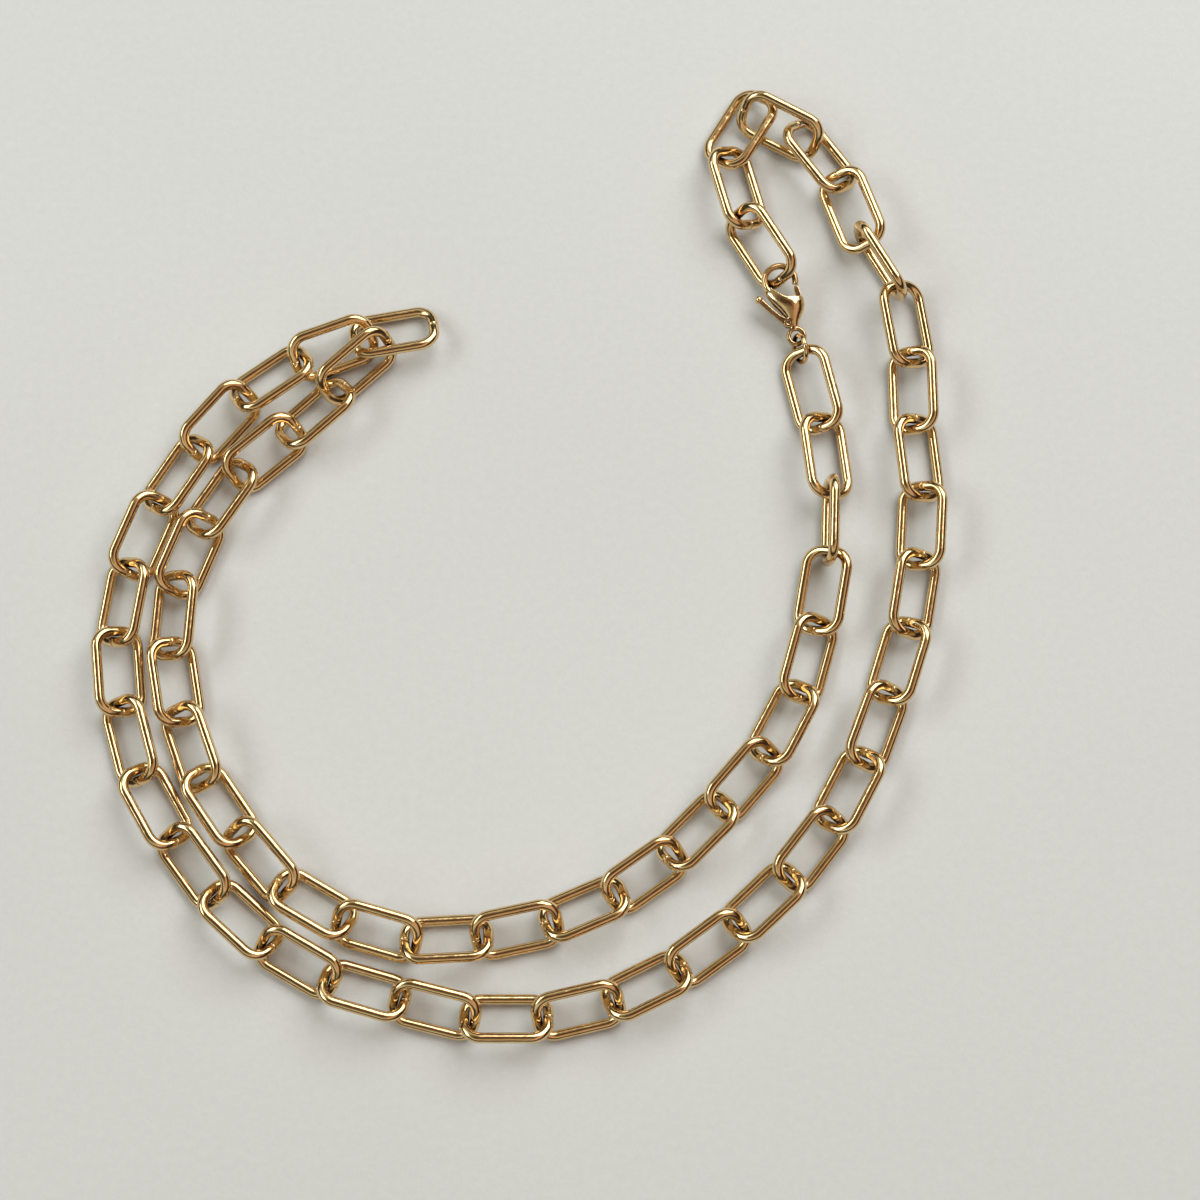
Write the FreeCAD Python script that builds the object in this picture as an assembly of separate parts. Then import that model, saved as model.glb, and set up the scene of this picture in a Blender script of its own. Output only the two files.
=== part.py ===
"""Chain necklace: sixty elongated oval wire links, closed by a jump ring and a lobster clasp.

The necklace lies on a table in one large loop, part of it doubled back on itself, and the clasp
holds the last link.  Millimetres, +Z up, the table at Z = 0, the middle of the footprint at X = Y = 0.
"""
import FreeCAD, Part
import os
from math import cos, sin, radians, sqrt
from FreeCAD import Placement, Rotation, Vector

# Link: one round wire bent to an elongated oval and butted at one end
WIRE_D = 1.2
LINK_LENGTH = 10.6
LINK_WIDTH = 6.3
CORNER_R = 1.9            # of the wire's centre line
SEAM_WIDTH = 0.16
SEAM_DEPTH = 0.06
CROWN_GAP = 1.28          # between the centre lines of two hooked end wires when pulled straight

HALF_L = (LINK_LENGTH - WIRE_D) / 2
HALF_W = (LINK_WIDTH - WIRE_D) / 2
TAUT_PITCH = LINK_LENGTH - WIRE_D - CROWN_GAP

# How the chain lies: (heading in degrees, lean in degrees, slack in mm) for each link, in order.
# A link with a positive lean has its left side up, seen along the chain from the jump ring.
NEAR_START = Vector(23.65, 28.45, 0)
NEAR_STRAND = [
    (-76, 30, 0.0), (-83, -28, 0.3), (-92, 84, 0.0), (-100, 28, 0.0), (-106, -33, 0.1), (-118, 33, 0.2),
    (-131, -33, 0.1), (-135, 33, 0.4), (-145, -33, 0.3), (-157, 33, 0.3), (-168, -33, 0.1), (-177, 33, 0.2),
    (164, -33, 0.1), (150, 33, 0.4), (131, -33, 0.1), (125, 33, 0.7), (110, -33, 0.4), (100, 33, 0.3),
    (86, -33, 0.5), (68, 33, 0.8), (56, -33, 0.6), (40, 33, 0.8), (43, -33, 0.4),
]
FAR_FIRST = 27
FAR_START = Vector(-34.9, 28.15, 0)
FAR_STRAND = [
    (-145, 33, 0.0), (-131, -33, 0.5), (-123, 33, 0.0), (-112, -33, 0.0), (-99, 33, 0.0), (-84, -33, 0.0),
    (-74, 33, 0.0), (-60, -33, 0.0), (-53, 33, 0.0), (-42, -33, 0.0), (-30, 33, 0.0), (-16, -33, 0.0),
    (-14, 33, 0.0), (0, -33, 0.0), (13, 33, 0.0), (26, -33, 0.0), (36, 33, 0.0), (43, -33, 0.0),
    (52, 33, 0.2), (62, -33, 0.0), (69, 33, 0.3), (72, -33, 0.0), (80, 33, 0.1), (86, -33, 0.1),
    (96, 33, 0.0), (91, -33, 0.1), (101, 29, 0.0), (121, 88, 0.4), (110, -28, 0.6), (127, 33, 0.8),
]
# Links that lie over others, or are lifted at one end: number: (centre, heading, lean, rise)
PLACED_LINKS = {
    2: (Vector(26.15, 16.6, 2.2), -83, -31, 4),
    4: (Vector(25.5, 0.7, 2.15), -100, 28, -4),
    23: (Vector(-33.05, 21.6, 2.15), 42, -36, 0),
    24: (Vector(-28.3, 27.2, 2.55), 42, 49, 0),
    25: (Vector(-24.1, 31.4, 1.8), 10, -25, 0),
    26: (Vector(-31.1, 29.45, 2.15), -160, -32, 0),
    53: (Vector(35.75, 32.3, 2.2), 100, 29, 4),
    55: (Vector(29.65, 46.3, 2.15), 110, -28, -4),
    57: (Vector(21.3, 56.5, 2.4), 152, -42, 0),
    58: (Vector(16.7, 56.4, 1.6), -122, 22, 0),
    59: (Vector(16.2, 49.0, 2.1), -74, -33, 0),
    60: (Vector(18.85, 41.75, 2.6), -58, 42, 0),
}
LINK_COUNT = 60
PAIRED = (38, 40, 42, 44, 46)     # each of these and the next link are one rigid node

# Jump ring between the clasp's eye and link 1
RING_WIRE_D = 0.6
RING_R = 1.55             # of the wire's centre line
RING_HEADING = -75
RING_LEAN = 18
RING_CENTRE_Z = 1.85
RING_PLAY = 0.29          # between the ring's wire and the side of the eye's hole

# Lobster clasp, drawn flat: origin at the eye, +Y towards the hook, +X towards the mouth
CLASP_EYE = Vector(22.94, 31.0, 1.65)
CLASP_HEADING = 105.7
CLASP_RISE = 5.4          # the hook end is up on the link that it holds
EYE_R = 1.2
EYE_HOLE_R = 0.65
EYE_THICK = 0.8
EYE_CHAMFER = 0.16
HOOK_CENTRE = Vector(-0.05, 6.8, 0)
HOOK_R = 1.8
HOOK_HALF_WIDTH = 0.38
HOOK_HALF_THICK = 0.55
HOOK_START = -28          # angle of the tip
HOOK_END = 225            # angle inside the body
# Sections of the body along Y: (y, left x, right x, half thickness)
BODY_SECTIONS = [
    (0.8, -0.55, 0.55, 0.43), (1.6, -0.55, 0.8, 0.55), (2.4, -0.7, 1.45, 0.8), (3.4, -1.15, 1.98, 1.05),
    (4.3, -1.65, 2.05, 1.1), (5.3, -2.05, 1.85, 0.9), (6.3, -2.23, 1.5, 0.6),
]
WINDOW_TOP = (HOOK_CENTRE, HOOK_R - HOOK_HALF_WIDTH - 0.05)
WINDOW_LOW = (Vector(0.45, 5.6, 0), 0.95)
MOUTH = [(0.45, 4.65), (1.2, 4.5), (2.6, 4.4), (2.6, 6.6), (0.45, 6.6)]
SLOT = [
    (-1.3, 1.15), (-0.05, 1.25), (0.95, 2.4), (1.72, 3.6), (2.1, 5.2), (0.5, 6.2), (-0.8, 6.2),
    (-0.62, 4.2), (-0.62, 2.9), (-1.3, 2.9),
]
SLOT_THICK = 0.75
CUT_DEPTH = 4.0           # of the cutters that pass right through the body

# Lever: the gate and the thumb arm are one piece that turns on the rivet
PIVOT = Vector(-0.5, 1.75, 0)
EAR_R = 0.52
EAR_HALF_THICK = 0.62
HUB_R = 0.45
HUB_BORE_R = 0.22
PIN_R = 0.18
LEVER_THICK = 0.6
GATE_ARM = [((0.6, 2.9), 0.4), ((1.3, 3.9), 0.38), ((1.55, 4.7), 0.33), ((1.53, 5.5), 0.3)]
THUMB_ARM = [((-1.35, 2.65), 0.28), ((-2.0, 3.6), 0.28), ((-2.6, 4.55), 0.28), ((-3.05, 5.3), 0.3)]
KNOB_R = 0.47
RECESS_R = 0.41
RECESS_DEPTH = 0.2
SPRING_R = 0.31
SPRING_WIRE_R = 0.06
SPRING_TAIL_R = 0.05
SPRING_Z = 0.2


def flat_polygon(points):
    corners = [Vector(x, y, 0) for x, y in points]
    return Part.Face(Part.makePolygon(corners + corners[:1]))


def slab(face, thick):
    """Extrude a flat face by thick, half to each side of Z = 0."""
    low = face.copy()
    low.translate(Vector(0, 0, -thick / 2))
    return low.extrude(Vector(0, 0, thick))


def tapered_bar(centre_a, r_a, centre_b, r_b, thick):
    """Slab whose outline is the hull of two circles."""
    along = centre_b - centre_a
    span = along.Length
    along.normalize()
    across = Vector(-along.y, along.x, 0)
    slope = (r_a - r_b) / span
    spread = sqrt(1 - slope * slope)
    side_p = along * slope + across * spread
    side_n = along * slope - across * spread
    a_p, a_n = centre_a + side_p * r_a, centre_a + side_n * r_a
    b_p, b_n = centre_b + side_p * r_b, centre_b + side_n * r_b
    edges = [
        Part.makeLine(a_n, b_n),
        Part.Arc(b_n, centre_b + along * r_b, b_p).toShape(),
        Part.makeLine(b_p, a_p),
        Part.Arc(a_p, centre_a - along * r_a, a_n).toShape(),
    ]
    return slab(Part.Face(Part.Wire(edges)), thick)


def wire_run(start, end):
    along = end - start
    return Part.makeCylinder(WIRE_D / 2, along.Length, start, along)


def wire_bend(centre, start_angle):
    """Quarter turn of the link's wire about centre, in the XY plane."""
    out = Vector(cos(radians(start_angle)), sin(radians(start_angle)), 0)
    tangent = Vector(-out.y, out.x, 0)
    section = Part.Face(Part.Wire(Part.makeCircle(WIRE_D / 2, centre + out * CORNER_R, tangent)))
    return section.revolve(centre, Vector(0, 0, 1), 90)


def seam_groove(at, along, wire_r):
    """Ring with a V section round a wire, to cut the line where its two ends meet."""
    side = Vector(0, 0, 1)
    rim = wire_r + SEAM_DEPTH
    half = SEAM_WIDTH * (1 + rim / wire_r) / 2
    outline = Part.makePolygon([
        at + side * (wire_r - SEAM_DEPTH),
        at + side * rim + along * half,
        at + side * rim - along * half,
        at + side * (wire_r - SEAM_DEPTH),
    ])
    return Part.Face(outline).revolve(at, along, 360)


def make_link():
    """One link in its own frame: length along X, width along Y, seam at the +X end."""
    x_in = HALF_L - CORNER_R
    y_in = HALF_W - CORNER_R
    pieces = [
        wire_run(Vector(-x_in, -HALF_W, 0), Vector(x_in, -HALF_W, 0)),
        wire_run(Vector(HALF_L, -y_in, 0), Vector(HALF_L, y_in, 0)),
        wire_run(Vector(x_in, HALF_W, 0), Vector(-x_in, HALF_W, 0)),
        wire_run(Vector(-HALF_L, y_in, 0), Vector(-HALF_L, -y_in, 0)),
        wire_bend(Vector(x_in, y_in, 0), 0),
        wire_bend(Vector(-x_in, y_in, 0), 90),
        wire_bend(Vector(-x_in, -y_in, 0), 180),
        wire_bend(Vector(x_in, -y_in, 0), 270),
    ]
    link = pieces[0].fuse(pieces[1:]).removeSplitter()
    return link.cut(seam_groove(Vector(HALF_L, 0, 0), Vector(0, 1, 0), WIRE_D / 2))


def strand_places(first, start, strand):
    """Walk along one strand and give each link's (centre, heading, lean, rise)."""
    places = {}
    joint = Vector(start)
    for number, (heading, lean, slack) in enumerate(strand, first):
        step = Vector(cos(radians(heading)), sin(radians(heading)), 0) * (TAUT_PITCH - slack)
        height = HALF_W * abs(sin(radians(lean))) + WIRE_D / 2
        places[number] = (joint + step / 2 + Vector(0, 0, height), heading, lean, 0)
        joint += step
    return places


def link_places():
    places = strand_places(1, NEAR_START, NEAR_STRAND)
    places.update(strand_places(FAR_FIRST, FAR_START, FAR_STRAND))
    places.update(PLACED_LINKS)
    return places


def link_placement(centre, heading, lean, rise):
    turn = Rotation(Vector(0, 0, 1), heading)
    tilt = Rotation(Vector(0, 1, 0), -rise)
    roll = Rotation(Vector(1, 0, 0), lean)
    return Placement(centre, turn * tilt * roll)


def make_links():
    """All links as {node name: shape}, with the rigid pairs joined."""
    master = make_link()
    shapes = {}
    for number, place in link_places().items():
        shape = master.copy()
        shape.Placement = link_placement(*place)
        shapes[number] = shape
    nodes = {}
    for number in range(1, LINK_COUNT + 1):
        if number in PAIRED:
            name = "link_%02d_%02d" % (number, number + 1)
            nodes[name] = Part.makeCompound([shapes[number], shapes[number + 1]])
        elif number - 1 not in PAIRED:
            nodes["link_%02d" % number] = shapes[number]
    return nodes


def eye_ring():
    """Thick washer with chamfered rims."""
    low, high = EYE_THICK / 2 - EYE_CHAMFER, EYE_THICK / 2
    inner, outer = EYE_HOLE_R + EYE_CHAMFER, EYE_R - EYE_CHAMFER
    outline = [
        (EYE_HOLE_R, -low), (inner, -high), (outer, -high), (EYE_R, -low),
        (EYE_R, low), (outer, high), (inner, high), (EYE_HOLE_R, low),
    ]
    corners = [Vector(r, 0, z) for r, z in outline]
    section = Part.Face(Part.makePolygon(corners + corners[:1]))
    return section.revolve(Vector(0, 0, 0), Vector(0, 0, 1), 360)


def hook():
    """Curved claw of oval section, from its tip round to the body."""
    section = Part.Ellipse(Vector(0, 0, 0), HOOK_HALF_THICK, HOOK_HALF_WIDTH).toShape()
    face = Part.Face(Part.Wire(section))
    face.rotate(Vector(0, 0, 0), Vector(0, 1, 0), 90)
    face.rotate(Vector(0, 0, 0), Vector(0, 0, 1), 90)
    face.translate(Vector(HOOK_R, 0, 0))
    claw = face.revolve(Vector(0, 0, 0), Vector(0, 0, 1), HOOK_END - HOOK_START)
    claw.rotate(Vector(0, 0, 0), Vector(0, 0, 1), HOOK_START)
    claw.translate(HOOK_CENTRE)
    return claw


def body_belly():
    """Smooth teardrop from the neck to the root of the hook."""
    wires = []
    for y, left, right, half_thick in BODY_SECTIONS:
        half_width = (right - left) / 2
        major, minor = max(half_width, half_thick), min(half_width, half_thick)
        oval = Part.Ellipse(Vector(0, 0, 0), major, minor).toShape()
        oval.rotate(Vector(0, 0, 0), Vector(1, 0, 0), 90)
        oval.translate(Vector((left + right) / 2, y, 0))
        wires.append(Part.Wire(oval))
    return Part.makeLoft(wires, True)


def make_clasp_body():
    """Casting with the hook, window, mouth, lever slot, ears and eye."""
    belly = body_belly()
    window = tapered_bar(*WINDOW_TOP, *WINDOW_LOW, CUT_DEPTH)
    belly = belly.cut([window, slab(flat_polygon(MOUTH), CUT_DEPTH)])
    ears = Part.makeCylinder(EAR_R, 2 * EAR_HALF_THICK, PIVOT - Vector(0, 0, EAR_HALF_THICK))
    solid = belly.fuse([hook(), ears])
    solid = solid.cut(slab(flat_polygon(SLOT), SLOT_THICK))
    solid = solid.fuse(eye_ring())
    eye_hole = Part.makeCylinder(EYE_HOLE_R, CUT_DEPTH, Vector(0, 0, -CUT_DEPTH / 2))
    pin_hole = Part.makeCylinder(PIN_R, CUT_DEPTH, PIVOT - Vector(0, 0, CUT_DEPTH / 2))
    return solid.cut([eye_hole, pin_hole, spring_tail()])


def arm(points):
    centre, radius = PIVOT, HUB_R
    bars = []
    for (x, y), next_radius in points:
        next_centre = Vector(x, y, 0)
        bars.append(tapered_bar(centre, radius, next_centre, next_radius, LEVER_THICK))
        centre, radius = next_centre, next_radius
    return bars


def make_lever():
    bars = arm(GATE_ARM) + arm(THUMB_ARM)
    knob_x, knob_y = THUMB_ARM[-1][0]
    knob = Part.makeSphere(KNOB_R, Vector(knob_x, knob_y, 0))
    lever = bars[0].fuse(bars[1:] + [knob]).removeSplitter()
    bore = Part.makeCylinder(HUB_BORE_R, 2 * LEVER_THICK, PIVOT - Vector(0, 0, LEVER_THICK))
    recess_floor = LEVER_THICK / 2 - RECESS_DEPTH
    recess = Part.makeCylinder(RECESS_R, LEVER_THICK, PIVOT + Vector(0, 0, recess_floor))
    return lever.cut([bore, recess])


def spring_tail():
    foot = PIVOT + Vector(0, SPRING_R, SPRING_Z)
    return Part.makeCylinder(SPRING_TAIL_R, EAR_HALF_THICK - SPRING_Z, foot)


def make_spring():
    """Torsion spring in the hub's recess, its tail held in the upper ear."""
    coil = Part.makeTorus(SPRING_R, SPRING_WIRE_R, PIVOT + Vector(0, 0, SPRING_Z))
    return coil.fuse(spring_tail())


def make_pin():
    length = 2 * EAR_HALF_THICK
    return Part.makeCylinder(PIN_R, length, PIVOT - Vector(0, 0, EAR_HALF_THICK))


def make_jump_ring():
    ring = Part.makeTorus(RING_R, RING_WIRE_D / 2)
    ring = ring.cut(seam_groove(Vector(0, RING_R, 0), Vector(1, 0, 0), RING_WIRE_D / 2))
    stand = Rotation(Vector(1, 0, 0), 90 - RING_LEAN)
    turn = Rotation(Vector(0, 0, 1), RING_HEADING)
    reach = RING_R + EYE_HOLE_R - RING_WIRE_D / 2 - RING_PLAY
    out = Vector(cos(radians(RING_HEADING)), sin(radians(RING_HEADING)), 0)
    centre = CLASP_EYE + out * reach
    centre.z = RING_CENTRE_Z
    ring.Placement = Placement(centre, turn * stand)
    return ring


def clasp_placement():
    turn = Rotation(Vector(0, 0, 1), CLASP_HEADING - 90)
    rise = Rotation(Vector(1, 0, 0), CLASP_RISE)
    return Placement(CLASP_EYE, turn * rise)


def make_clasp():
    pieces = {
        "clasp_body": make_clasp_body(),
        "clasp_lever": make_lever(),
        "lever_pin": make_pin(),
        "lever_spring": make_spring(),
    }
    for shape in pieces.values():
        shape.Placement = clasp_placement().multiply(shape.Placement)
    return pieces


def centre_footprint(nodes):
    """Move every piece so that the footprint's middle is at X = Y = 0 and the lowest point at Z = 0."""
    box = Part.makeCompound(list(nodes.values())).optimalBoundingBox(False, False)
    move = Vector(-box.Center.x, -box.Center.y, -box.ZMin)
    for shape in nodes.values():
        shape.translate(move)
    return move


def build():
    nodes = make_links()
    nodes["jump_ring"] = make_jump_ring()
    nodes.update(make_clasp())
    move = centre_footprint(nodes)
    return nodes, move


if __name__ == "__main__":
    os.makedirs("parts", exist_ok=True)
    all_nodes, shift = build()
    for node_name, node_shape in all_nodes.items():
        node_shape.exportStep("parts/%s.step" % node_name)
    print("nodes", len(all_nodes), "moved by", shift)
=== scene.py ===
"""Looks of the chain necklace: polished gold-plated links, jump ring and lobster clasp on pale paper."""
import math

import bpy
import numpy as np
from mathutils import Matrix, Vector


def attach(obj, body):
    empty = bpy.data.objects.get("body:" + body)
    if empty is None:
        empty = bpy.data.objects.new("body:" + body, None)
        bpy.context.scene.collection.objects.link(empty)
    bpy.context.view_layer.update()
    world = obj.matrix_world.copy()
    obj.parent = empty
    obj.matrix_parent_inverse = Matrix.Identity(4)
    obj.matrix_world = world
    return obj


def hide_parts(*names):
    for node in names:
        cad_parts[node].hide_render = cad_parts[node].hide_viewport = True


MM = 0.001

# Link wire, in mm, as in the CAD
WIRE_R = 0.6
HALF_L = 4.7
HALF_W = 2.55
CORNER_R = 1.9
SEAM_DIP = 0.05           # how far the butted ends' rounded edges sink at the joint
SEAM_HALF = 0.09
RING_SIDES = 28
BEND_STEPS = 14
SIDE_STEPS = 6

CROWN_NEAR = 0.8          # how near a vertex lies to a crown's middle to count as part of it
WELD = 1e-7               # metres within which two vertices are one

# Finishes
GOLD_LIGHT = (0.82, 0.605, 0.32)
GOLD_DEEP = (0.73, 0.505, 0.245)
GOLD_ROUGHNESS = 0.10
# Painted shade: colour and reach of the darkening painted into the gold in gaps between parts and on undersides,
# standing in for shade and dark reflections
PAINTED_SHADE = (0.13, 0.07, 0.05)
PAINTED_SHADE_REACH = 1.1       # mm of gap that counts as a crevice for the painted shade
STEEL_DARK = (0.42, 0.40, 0.38)
STEEL_PALE = (0.60, 0.58, 0.55)
PAPER_DARK = (0.735, 0.762, 0.762)
PAPER_PALE = (0.762, 0.790, 0.790)

# Casting copies, in mm
BODY_VOXEL = 0.045
LEVER_VOXEL = 0.04

# Floor, in metres
FLOOR_HALF = 3.0
FLOOR_DROP = 0.00002      # keeps the paper just clear of the metal

# Camera over the table
CAMERA_TILT = 10.34       # degrees from straight down
CAMERA_DISTANCE = 300.0
CAMERA_AIM = (8.975, -5.553)
CAMERA_LENS = 78.04


# ---------------------------------------------------------------- helpers

def new_material(name):
    """A material with its node list, link list and main shader."""
    mat = bpy.data.materials.new(name)
    mat.use_nodes = True
    nodes = mat.node_tree.nodes
    shader = nodes["Principled BSDF"]
    return mat, nodes, mat.node_tree.links, shader


def mm_coordinates(nodes, links):
    """Object coordinates counted in millimetres."""
    where = nodes.new("ShaderNodeTexCoord")
    scale = nodes.new("ShaderNodeMapping")
    scale.inputs["Scale"].default_value = (1 / MM, 1 / MM, 1 / MM)
    links.new(where.outputs["Object"], scale.inputs["Vector"])
    return scale.outputs["Vector"]


def noise(nodes, links, vector, scale, detail, rough=0.5):
    tex = nodes.new("ShaderNodeTexNoise")
    tex.inputs["Scale"].default_value = scale
    tex.inputs["Detail"].default_value = detail
    tex.inputs["Roughness"].default_value = rough
    links.new(vector, tex.inputs["Vector"])
    return tex.outputs["Fac"]


def ramp(nodes, links, fac, low, high, colour_low, colour_high):
    node = nodes.new("ShaderNodeValToRGB")
    node.color_ramp.elements[0].position = low
    node.color_ramp.elements[0].color = (*colour_low, 1)
    node.color_ramp.elements[1].position = high
    node.color_ramp.elements[1].color = (*colour_high, 1)
    links.new(fac, node.inputs["Fac"])
    return node.outputs["Color"]


def remap(nodes, links, value, low, high, to_low, to_high):
    node = nodes.new("ShaderNodeMapRange")
    for key, number in zip(("From Min", "From Max", "To Min", "To Max"), (low, high, to_low, to_high)):
        node.inputs[key].default_value = number
    links.new(value, node.inputs["Value"])
    return node.outputs["Result"]


def bump(nodes, links, height, distance, strength, normal=None):
    node = nodes.new("ShaderNodeBump")
    node.inputs["Distance"].default_value = distance
    node.inputs["Strength"].default_value = strength
    links.new(height, node.inputs["Height"])
    if normal is not None:
        links.new(normal, node.inputs["Normal"])
    return node.outputs["Normal"]


# ---------------------------------------------------------------- materials

def polished_gold(name, light, deep, roughness):
    """Polished plate: a mirror finish with faint waviness, handling haze and hairline scratches, darkened with
    painted shade in gaps and on undersides.
    """
    mat, nodes, links, shader = new_material(name)
    at = mm_coordinates(nodes, links)
    colour = ramp(nodes, links, noise(nodes, links, at, 0.35, 2), 0.3, 0.7, deep, light)
    haze = noise(nodes, links, at, 1.3, 4, 0.6)
    # Painted shade: ambient occlusion darkens the gold's colour where other metal or the paper is near, standing
    # in for shade and dark reflections between links and on undersides
    shade_occlusion = nodes.new("ShaderNodeAmbientOcclusion")
    shade_occlusion.samples = 6
    shade_occlusion.inputs["Distance"].default_value = PAINTED_SHADE_REACH * MM
    painted_shade = ramp(nodes, links, shade_occlusion.outputs["AO"], 0.28, 0.80, PAINTED_SHADE, (1.0, 1.0, 1.0))
    shade_painted_colour = nodes.new("ShaderNodeMix")
    shade_painted_colour.data_type = "RGBA"
    shade_painted_colour.blend_type = "MULTIPLY"
    shade_painted_colour.inputs[0].default_value = 1.0
    links.new(colour, shade_painted_colour.inputs[6])
    links.new(painted_shade, shade_painted_colour.inputs[7])
    links.new(shade_painted_colour.outputs[2], shader.inputs["Base Color"])
    links.new(remap(nodes, links, haze, 0.35, 0.7, roughness * 0.7, roughness * 1.5),
              shader.inputs["Roughness"])
    wave = bump(nodes, links, noise(nodes, links, at, 0.9, 1), 0.00006, 0.5)
    stretch = nodes.new("ShaderNodeMapping")
    stretch.inputs["Scale"].default_value = (2, 30, 12)
    links.new(at, stretch.inputs["Vector"])
    fine = bump(nodes, links, noise(nodes, links, stretch.outputs["Vector"], 1.0, 3), 0.000006, 0.35, wave)
    links.new(fine, shader.inputs["Normal"])
    shader.inputs["Metallic"].default_value = 1.0
    return mat


def spring_steel():
    """Bare spring wire, grey and slightly satin."""
    mat, nodes, links, shader = new_material("spring_steel")
    at = mm_coordinates(nodes, links)
    colour = ramp(nodes, links, noise(nodes, links, at, 6, 2), 0.3, 0.7, STEEL_DARK, STEEL_PALE)
    links.new(colour, shader.inputs["Base Color"])
    links.new(remap(nodes, links, noise(nodes, links, at, 20, 2), 0.3, 0.7, 0.25, 0.4),
              shader.inputs["Roughness"])
    shader.inputs["Metallic"].default_value = 1.0
    return mat


def paper():
    """Pale, slightly uneven sheet with a fine tooth and a few specks."""
    mat, nodes, links, shader = new_material("paper")
    at = mm_coordinates(nodes, links)
    broad = ramp(nodes, links, noise(nodes, links, at, 0.012, 3), 0.3, 0.7, PAPER_DARK, PAPER_PALE)
    grain = noise(nodes, links, at, 1.1, 6, 0.7)
    speck = nodes.new("ShaderNodeTexVoronoi")
    speck.inputs["Scale"].default_value = 0.045
    links.new(at, speck.inputs["Vector"])
    dot = remap(nodes, links, speck.outputs["Distance"], 0.006, 0.012, 0.72, 1.0)
    dust = remap(nodes, links, grain, 0.25, 0.75, 0.96, 1.03)
    both = nodes.new("ShaderNodeMath")
    both.operation = "MULTIPLY"
    links.new(dot, both.inputs[0])
    links.new(dust, both.inputs[1])
    tone = nodes.new("ShaderNodeMix")
    tone.data_type = "RGBA"
    tone.blend_type = "MULTIPLY"
    tone.inputs[0].default_value = 1.0
    links.new(broad, tone.inputs[6])
    links.new(both.outputs["Value"], tone.inputs[7])
    links.new(tone.outputs[2], shader.inputs["Base Color"])
    tooth = bump(nodes, links, noise(nodes, links, at, 2.2, 5, 0.65), 0.0001, 0.25)
    links.new(tooth, shader.inputs["Normal"])
    shader.inputs["Roughness"].default_value = 0.55
    shader.inputs["Specular IOR Level"].default_value = 0.35
    return mat


# ---------------------------------------------------------------- link mesh

def half_link_stations():
    """Stations of the wire's centre line from the seam to the far crown: (x, y, out x, out y, radius)."""
    x_in, y_in = HALF_L - CORNER_R, HALF_W - CORNER_R
    rows = []
    for gap, dip in ((0.0, 1.0), (0.35, 0.75), (0.7, 0.3), (1.0, 0.0), (2.5, 0.0)):
        rows.append((HALF_L, gap * SEAM_HALF, 1.0, 0.0, WIRE_R - dip * SEAM_DIP))
    for step in range(BEND_STEPS + 1):
        a = math.pi / 2 * step / BEND_STEPS
        rows.append((x_in + CORNER_R * math.cos(a), y_in + CORNER_R * math.sin(a),
                     math.cos(a), math.sin(a), WIRE_R))
    for step in range(1, SIDE_STEPS):
        rows.append((x_in - 2 * x_in * step / SIDE_STEPS, HALF_W, 0.0, 1.0, WIRE_R))
    for step in range(BEND_STEPS + 1):
        a = math.pi / 2 + math.pi / 2 * step / BEND_STEPS
        rows.append((-x_in + CORNER_R * math.cos(a), y_in + CORNER_R * math.sin(a),
                     math.cos(a), math.sin(a), WIRE_R))
    rows.append((-HALF_L, 0.0, -1.0, 0.0, WIRE_R))
    return rows


def link_mesh():
    """One link as a closed tube: length along X, width along Y, seam at the +X crown."""
    half = half_link_stations()
    mirrored = [(x, -y, ox, -oy, r) for x, y, ox, oy, r in half[1:-1]]
    stations = half + mirrored[::-1]
    verts, faces = [], []
    for x, y, ox, oy, r in stations:
        for side in range(RING_SIDES):
            a = 2 * math.pi * side / RING_SIDES
            out, up = r * math.cos(a), r * math.sin(a)
            verts.append(((x + ox * out) * MM, (y + oy * out) * MM, up * MM))
    count = len(stations)
    for i in range(count):
        j = (i + 1) % count
        for s in range(RING_SIDES):
            t = (s + 1) % RING_SIDES
            faces.append((i * RING_SIDES + s, j * RING_SIDES + s, j * RING_SIDES + t, i * RING_SIDES + t))
    mesh = bpy.data.meshes.new("link_wire")
    mesh.from_pydata(verts, [], faces)
    mesh.polygons.foreach_set("use_smooth", [True] * len(mesh.polygons))
    mesh.validate()
    mesh.update()
    return mesh


# ---------------------------------------------------------------- where the CAD's links are

def welded(obj):
    """The node's vertices with doubles joined, and its triangles."""
    mesh = obj.data
    mesh.calc_loop_triangles()
    co = np.empty(len(mesh.vertices) * 3)
    mesh.vertices.foreach_get("co", co)
    tris = np.empty(len(mesh.loop_triangles) * 3, np.int64)
    mesh.loop_triangles.foreach_get("vertices", tris)
    keys = np.round(co.reshape(-1, 3) / WELD).astype(np.int64)
    _, first, inverse = np.unique(keys, axis=0, return_index=True, return_inverse=True)
    return co.reshape(-1, 3)[first], inverse.reshape(-1)[tris].reshape(-1, 3)


def islands(verts, tris):
    """Split triangles into connected lumps."""
    label = np.arange(len(verts))
    while True:
        low = label[tris].min(axis=1)
        before = label.copy()
        for corner in range(3):
            np.minimum.at(label, tris[:, corner], low)
        if np.array_equal(before, label):
            break
    return [tris[label[tris[:, 0]] == one] for one in np.unique(label[tris[:, 0]])]


def axes_of(verts, tris):
    """Centre of a lump's skin and its axes, longest spread first."""
    a, b, c = (verts[tris[:, k]] for k in range(3))
    area = np.linalg.norm(np.cross(b - a, c - a), axis=1) / 2
    middle = (a + b + c) / 3
    centre = (middle * area[:, None]).sum(0) / area.sum()
    spread = np.zeros((3, 3))
    for corner in (a, b, c):
        spread += np.einsum("n,ni,nj->ij", area / 12, corner - centre, corner - centre)
    spread += np.einsum("n,ni,nj->ij", area * 9 / 12, middle - centre, middle - centre)
    _, vectors = np.linalg.eigh(spread)
    return centre, vectors[:, ::-1].T


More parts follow.
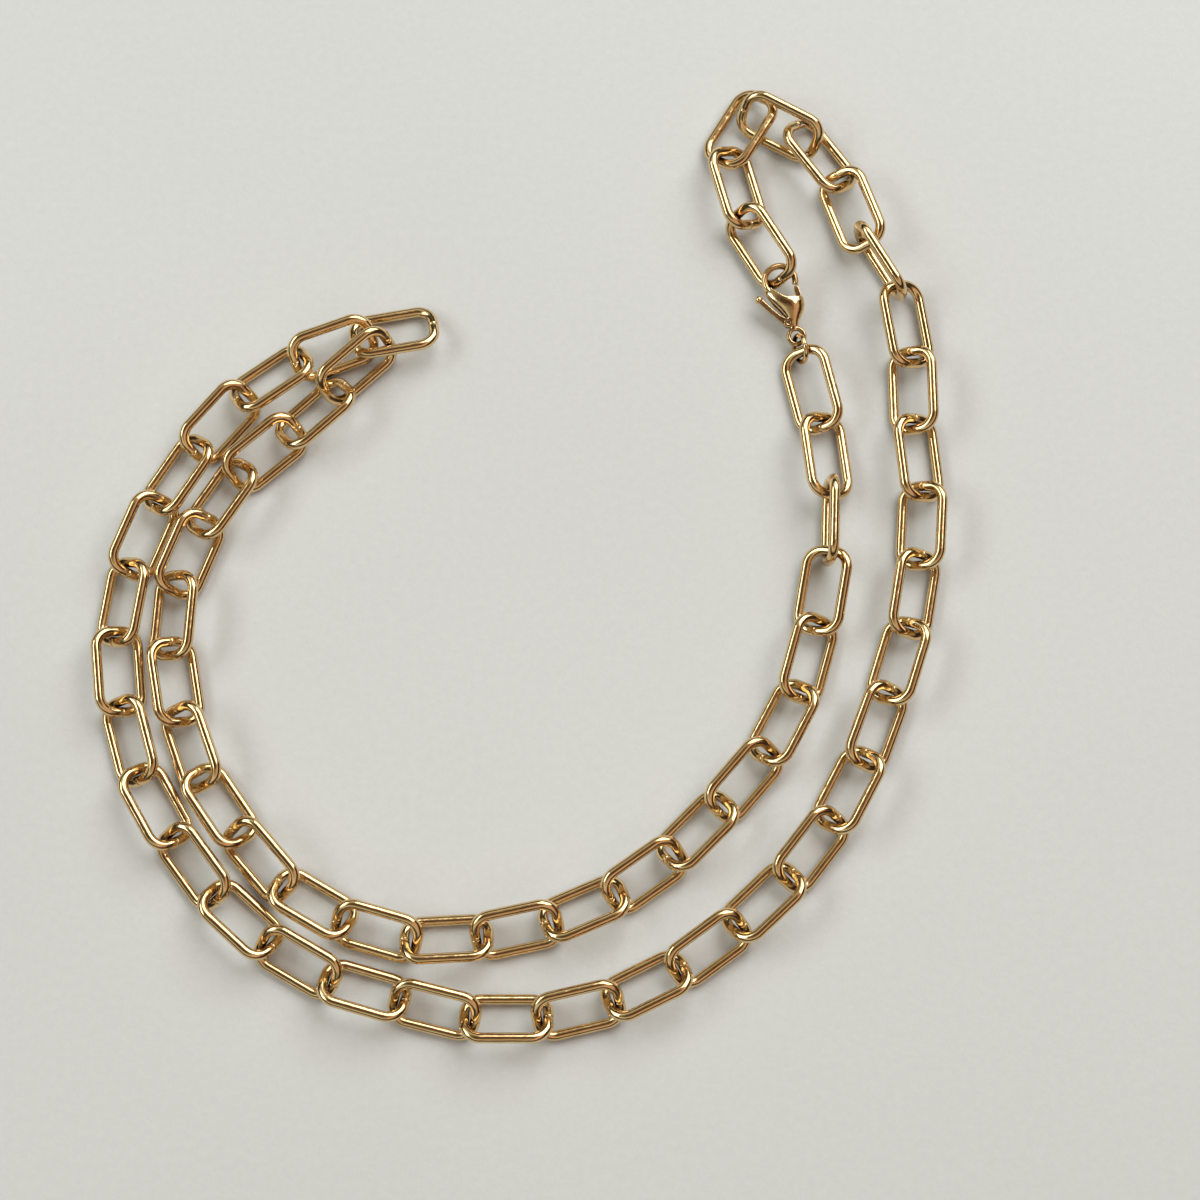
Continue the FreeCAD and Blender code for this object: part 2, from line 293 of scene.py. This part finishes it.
def link_matrix(verts, tris):
    """Where a link lies, with +X towards the crown that has the seam."""
    centre, (length, width, _) = axes_of(verts, tris)
    used = verts[np.unique(tris)]
    crowns = [(np.linalg.norm(used - (centre + s * length * HALF_L * MM), axis=1) < CROWN_NEAR * MM).sum()
              for s in (1, -1)]
    if crowns[1] > crowns[0]:
        length = -length
    normal = np.cross(length, width)
    place = Matrix.Identity(4)
    for row in range(3):
        for col, axis in enumerate((length, width, normal)):
            place[row][col] = axis[row]
        place[row][3] = centre[row]
    return place


# ---------------------------------------------------------------- pieces

def add_object(name, mesh, material):
    """Put a mesh in the scene, with the material if the mesh has none yet."""
    obj = bpy.data.objects.new(name, mesh)
    bpy.context.scene.collection.objects.link(obj)
    if not mesh.materials:
        mesh.materials.append(material)
    return obj


def dress_links(gold):
    """Lay a smooth wire link on each CAD link; a two-link node gets two."""
    mesh = link_mesh()
    for node in sorted(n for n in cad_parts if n.startswith("link_")):
        verts, tris = welded(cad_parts[node])
        made = []
        for lump in islands(verts, tris):
            letter = "ab"[len(made)]
            obj = add_object("%s_wire_%s" % (node, letter), mesh, gold)
            obj.matrix_world = link_matrix(verts, lump)
            made.append(obj)
        bpy.context.view_layer.update()
        for obj in made:
            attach(obj, node)
        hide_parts(node)


def cast_copy(node, name, voxel, rounds, material):
    """A node's shape with its edges melted together as in a casting, as a new piece."""
    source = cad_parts[node]
    mesh = source.data.copy()
    mesh.transform(Matrix.Scale(1 / MM, 4))
    temp = bpy.data.objects.new("temp", mesh)
    bpy.context.scene.collection.objects.link(temp)
    remesh = temp.modifiers.new("remesh", "REMESH")
    remesh.mode = "VOXEL"
    remesh.voxel_size = voxel
    remesh.use_smooth_shade = True
    soft = temp.modifiers.new("soft", "SMOOTH")
    soft.factor = 0.5
    soft.iterations = rounds
    bpy.context.view_layer.update()
    done = bpy.data.meshes.new_from_object(temp.evaluated_get(bpy.context.evaluated_depsgraph_get()))
    done.transform(Matrix.Scale(MM, 4))
    done.name = name
    bpy.data.objects.remove(temp)
    done.materials.clear()
    return add_object(name, done, material)


def dress_clasp(gold, steel):
    """Soften the cast parts, and give the rivet, spring and ring their finish."""
    body = cast_copy("clasp_body", "clasp_casting", BODY_VOXEL, 6, gold)
    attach(body, "clasp_body")
    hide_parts("clasp_body")
    lever = cast_copy("clasp_lever", "lever_casting", LEVER_VOXEL, 5, gold)
    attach(lever, "clasp_lever")
    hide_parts("clasp_lever")
    for node, material in (("lever_pin", gold), ("lever_spring", steel), ("jump_ring", gold)):
        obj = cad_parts[node]
        obj.data.materials.clear()
        obj.data.materials.append(material)
        obj.data.polygons.foreach_set("use_smooth", [True] * len(obj.data.polygons))


# ---------------------------------------------------------------- stage

def add_floor():
    mesh = bpy.data.meshes.new("floor")
    corners = [(sx * FLOOR_HALF, sy * FLOOR_HALF, -FLOOR_DROP) for sx, sy in ((-1, -1), (1, -1), (1, 1), (-1, 1))]
    mesh.from_pydata(corners, [], [(0, 1, 2, 3)])
    floor = add_object("floor", mesh, paper())


def add_area(name, at, aim, size, power, colour):
    data = bpy.data.lights.new(name, "AREA")
    data.shape = "RECTANGLE"
    data.size, data.size_y = size
    data.energy = power
    data.color = colour
    lamp = bpy.data.objects.new(name, data)
    bpy.context.scene.collection.objects.link(lamp)
    lamp.location = at
    lamp.rotation_euler = (Vector(aim) - Vector(at)).to_track_quat("-Z", "Y").to_euler()


def add_lights():
    """A broad soft window to the upper right and a weaker one on the left."""
    aim = (0.0, 0.0, 0.0)
    add_area("key", (0.42, 0.62, 0.72), aim, (0.95, 0.80), 7.6, (0.94, 0.995, 1.0))
    add_area("left", (-0.75, 0.15, 0.62), aim, (0.80, 0.34), 2.9, (0.93, 0.99, 1.0))


def colour_bands(nodes, links, fac, bands):
    """Colours by position along fac, blended in between."""
    node = nodes.new("ShaderNodeValToRGB")
    while len(node.color_ramp.elements) < len(bands):
        node.color_ramp.elements.new(0.5)
    for element, (position, colour) in zip(node.color_ramp.elements, bands):
        element.position = position
        element.color = (*colour, 1)
    links.new(fac, node.inputs["Fac"])
    return node.outputs["Color"]


def add_world():
    """Room round the table: pale walls low down, dark furniture, a tan side and a pale side, dim overhead."""
    world = bpy.data.worlds.new("room")
    bpy.context.scene.world = world
    world.use_nodes = True
    nodes, links = world.node_tree.nodes, world.node_tree.links
    where = nodes.new("ShaderNodeTexCoord")
    split = nodes.new("ShaderNodeSeparateXYZ")
    links.new(where.outputs["Generated"], split.inputs["Vector"])
    patches = noise(nodes, links, where.outputs["Generated"], 1.7, 1)
    shift = remap(nodes, links, patches, 0.3, 0.7, -0.07, 0.07)
    level = nodes.new("ShaderNodeMath")
    level.operation = "ADD"
    links.new(split.outputs["Z"], level.inputs[0])
    links.new(shift, level.inputs[1])
    tan_side = colour_bands(nodes, links, level.outputs["Value"], (
        (0.0, (0.40, 0.39, 0.38)), (0.15, (0.06, 0.04, 0.03)), (0.50, (0.045, 0.03, 0.025)),
        (0.66, (0.72, 0.50, 0.38)), (0.88, (0.66, 0.46, 0.35)), (0.96, (0.09, 0.055, 0.04))))
    pale_side = colour_bands(nodes, links, level.outputs["Value"], (
        (0.0, (0.45, 0.45, 0.44)), (0.14, (0.05, 0.04, 0.03)), (0.44, (0.05, 0.04, 0.03)),
        (0.60, (0.80, 0.80, 0.72)), (0.80, (0.30, 0.28, 0.20)), (0.95, (0.08, 0.055, 0.04))))
    sides = nodes.new("ShaderNodeMix")
    sides.data_type = "RGBA"
    links.new(remap(nodes, links, split.outputs["X"], -0.25, 0.35, 0.0, 1.0), sides.inputs[0])
    links.new(pale_side, sides.inputs[6])
    links.new(tan_side, sides.inputs[7])
    links.new(sides.outputs[2], nodes["Background"].inputs["Color"])
    nodes["Background"].inputs["Strength"].default_value = 1.0


def add_camera():
    data = bpy.data.cameras.new("camera")
    data.lens = CAMERA_LENS
    data.sensor_width = 36.0
    data.clip_start, data.clip_end = 0.01, 20.0
    cam = bpy.data.objects.new("camera", data)
    bpy.context.scene.collection.objects.link(cam)
    tilt = math.radians(CAMERA_TILT)
    x, y = CAMERA_AIM
    cam.location = (x * MM, (y - CAMERA_DISTANCE * math.sin(tilt)) * MM, CAMERA_DISTANCE * math.cos(tilt) * MM)
    cam.rotation_euler = (tilt, 0.0, 0.0)
    bpy.context.scene.camera = cam


# ---------------------------------------------------------------- build

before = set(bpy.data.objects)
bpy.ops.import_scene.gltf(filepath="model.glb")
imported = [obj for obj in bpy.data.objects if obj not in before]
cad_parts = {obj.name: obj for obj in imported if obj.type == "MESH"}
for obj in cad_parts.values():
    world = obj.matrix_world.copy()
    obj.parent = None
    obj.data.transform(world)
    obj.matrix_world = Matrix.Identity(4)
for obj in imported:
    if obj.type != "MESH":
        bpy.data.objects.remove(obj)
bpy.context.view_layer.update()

gold = polished_gold("gold_polish", GOLD_LIGHT, GOLD_DEEP, GOLD_ROUGHNESS)
dress_links(gold)
dress_clasp(gold, spring_steel())
add_floor()
add_lights()
add_world()
add_camera()
bpy.context.scene.view_settings.view_transform = "Standard"
